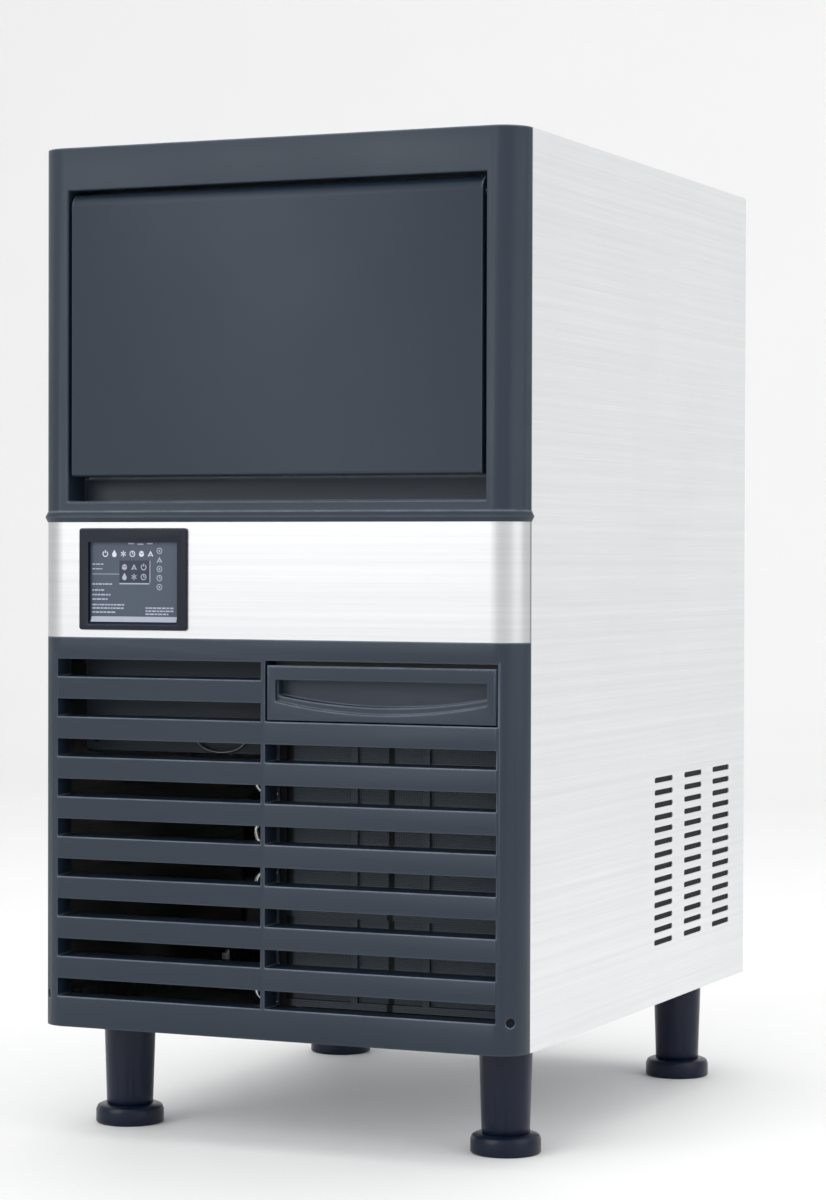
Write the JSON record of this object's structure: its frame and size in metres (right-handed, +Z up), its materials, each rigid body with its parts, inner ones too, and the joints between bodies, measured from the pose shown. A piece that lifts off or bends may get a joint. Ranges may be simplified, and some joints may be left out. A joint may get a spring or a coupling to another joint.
{
  "type": "ice machine",
  "caption": "Free-standing ice cube machine: stainless cabinet on short legs, lift-up bin door, control band and louvred front grille with a pull-out drawer.",
  "frame": {"origin": "on the floor under the middle of the machine's outline", "axes": "+Z up along the height, the door and grille face -Y, +X to the machine's right seen from the front"},
  "size_m": [0.455, 0.6306, 0.855],
  "materials": {
    "stainless": "brushed stainless sheet",
    "galvanised": "galvanised sheet",
    "slate_plastic": "slate navy-grey moulding, fine grain",
    "leg_plastic": "dark navy moulding",
    "bezel_plastic": "dark navy moulding, smooth",
    "overlay": "printed membrane sheet",
    "display": "tinted display window",
    "board": "circuit board",
    "white_plastic": "white food grade moulding",
    "grey_plastic": "grey moulding",
    "black_plastic": "black moulding",
    "clear_plastic": "frosted clear sheet",
    "foam": "closed cell foam",
    "gasket_rubber": "soft seal",
    "pin_steel": "bright steel",
    "tinned_copper": "nickel plated copper",
    "copper": "drawn copper tube",
    "black_enamel": "black enamel",
    "condenser_metal": "bare aluminium"
  },
  "bodies": {
    "cabinet": {"side_panel_left": "stainless", "side_panel_right": "stainless", "rear_panel": "stainless", "top_panel": "stainless", "control_band": "stainless", "panel_screws": "stainless", "electrical_box": "stainless", "base_pan": "galvanised", "mid_shelf": "galvanised", "motor_bracket": "galvanised", "door_frame": "slate_plastic", "front_grille": "slate_plastic", "legs": "leg_plastic", "control_bezel": "bezel_plastic", "control_overlay": "overlay", "display_window": "display", "control_board": "board", "bin_liner": "white_plastic", "water_trough": "white_plastic", "evaporator_brackets": "white_plastic", "water_distributor": "white_plastic", "drain_pipe": "white_plastic", "supply_hose": "white_plastic", "pump_hose": "white_plastic", "drawer_guide": "grey_plastic", "fan_shroud": "grey_plastic", "dust_filter": "grey_plastic", "water_inlet_valve": "grey_plastic", "terminal_cover": "black_plastic", "power_gland": "black_plastic", "pump": "black_plastic", "bin_insulation": "foam", "compressor_grommets": "gasket_rubber", "float_stem": "pin_steel", "compressor_studs": "pin_steel", "evaporator_grid": "tinned_copper", "evaporator_tube": "copper", "capillary_line": "copper", "suction_line": "copper", "discharge_line": "copper", "filter_drier": "copper", "compressor_shell": "black_enamel", "fan_motor": "black_enamel", "condenser_tubes": "condenser_metal", "condenser_fins": "condenser_metal"},
    "door": {"door_shell": "slate_plastic", "door_foam": "foam", "door_liner": "white_plastic", "door_gasket": "gasket_rubber", "door_pins": "pin_steel"},
    "drawer": {"drawer_front": "slate_plastic", "drawer_tray": "white_plastic"},
    "fan": {"fan_blade": "black_plastic", "fan_shaft": "pin_steel"},
    "curtain": {"water_curtain": "clear_plastic"},
    "float": {"float_ring": "white_plastic"},
    "foot_front_left": {"foot_front_left": "leg_plastic"},
    "foot_front_right": {"foot_front_right": "leg_plastic"},
    "foot_rear_left": {"foot_rear_left": "leg_plastic"},
    "foot_rear_right": {"foot_rear_right": "leg_plastic"}
  },
  "joints": [
    {"name": "door_hinge", "type": "hinge", "parent": "cabinet", "child": "door", "pos_m": [0, -0.30025, 0.803], "axis": [-1, 0, 0], "range_deg": [0, 85]},
    {"name": "drawer_slide", "type": "slide", "parent": "cabinet", "child": "drawer", "axis": [0, -1, 0], "range_m": [0, 0.12]},
    {"name": "fan_spin", "type": "hinge", "parent": "cabinet", "child": "fan", "pos_m": [0.1, -0.22175, 0.2204], "axis": [0, 1, 0], "continuous": true},
    {"name": "curtain_swing", "type": "hinge", "parent": "cabinet", "child": "curtain", "pos_m": [0, 0.09725, 0.801], "axis": [-1, 0, 0], "range_deg": [0, 35]},
    {"name": "float_rise", "type": "slide", "parent": "cabinet", "child": "float", "axis": [0, 0, 1], "range_m": [0, 0.01]},
    {"name": "foot_front_left_screw", "type": "slide", "parent": "cabinet", "child": "foot_front_left", "axis": [0, 0, -1], "range_m": [0, 0.025]},
    {"name": "foot_front_right_screw", "type": "slide", "parent": "cabinet", "child": "foot_front_right", "axis": [0, 0, -1], "range_m": [0, 0.025]},
    {"name": "foot_rear_left_screw", "type": "slide", "parent": "cabinet", "child": "foot_rear_left", "axis": [0, 0, -1], "range_m": [0, 0.025]},
    {"name": "foot_rear_right_screw", "type": "slide", "parent": "cabinet", "child": "foot_rear_right", "axis": [0, 0, -1], "range_m": [0, 0.025]}
  ]
}
